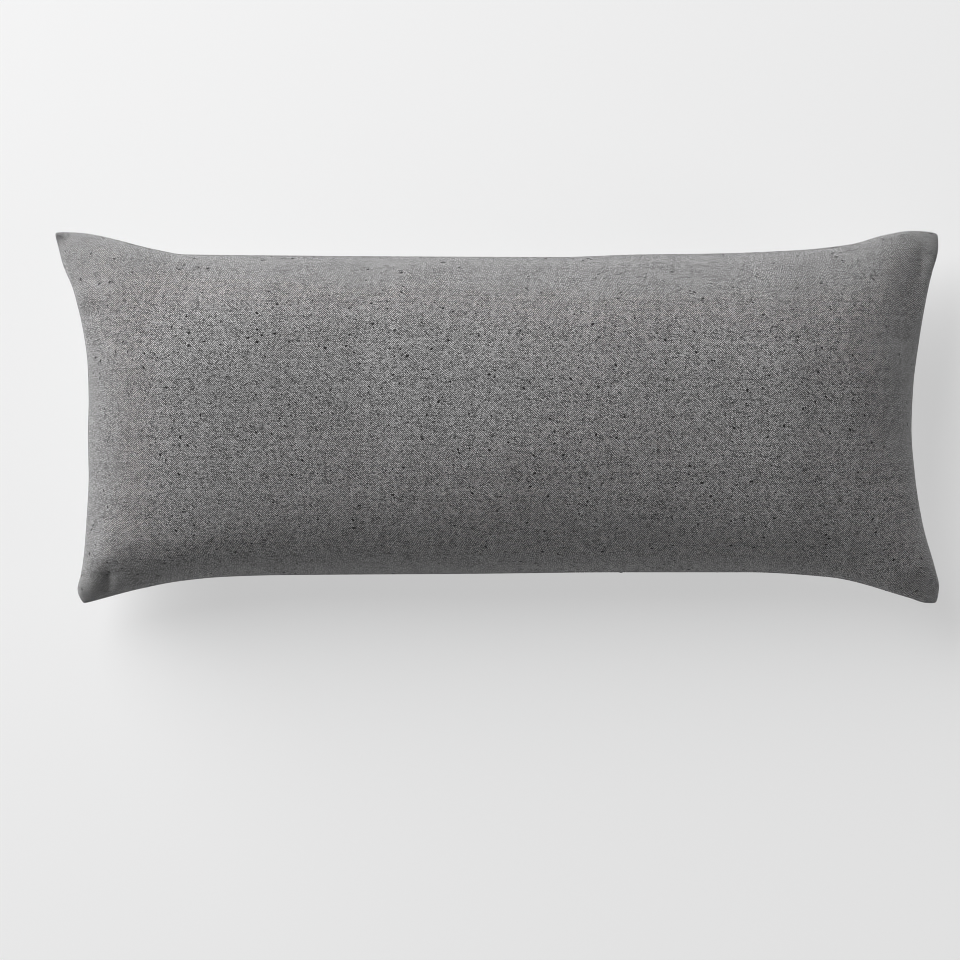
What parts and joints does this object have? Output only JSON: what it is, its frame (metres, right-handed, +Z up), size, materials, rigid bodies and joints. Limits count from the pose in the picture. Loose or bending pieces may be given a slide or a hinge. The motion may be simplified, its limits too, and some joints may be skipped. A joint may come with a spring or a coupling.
{
  "type": "long cushion",
  "caption": "Long rectangular filled cushion with drawn-in sides, pointed ears and a plain knife-edge seam, lying on its back.",
  "frame": {"origin": "on the surface that the cushion lies on, under the middle of its outline", "axes": "+X along the cushion's length, +Y across it, +Z up through its front"},
  "size_m": [0.876, 0.369, 0.1652],
  "materials": {
    "cover": "matt twill weave of dark and pale grey yarns, with small dark slubs"
  },
  "bodies": {
    "root": {"cushion": "cover"}
  },
  "joints": []
}
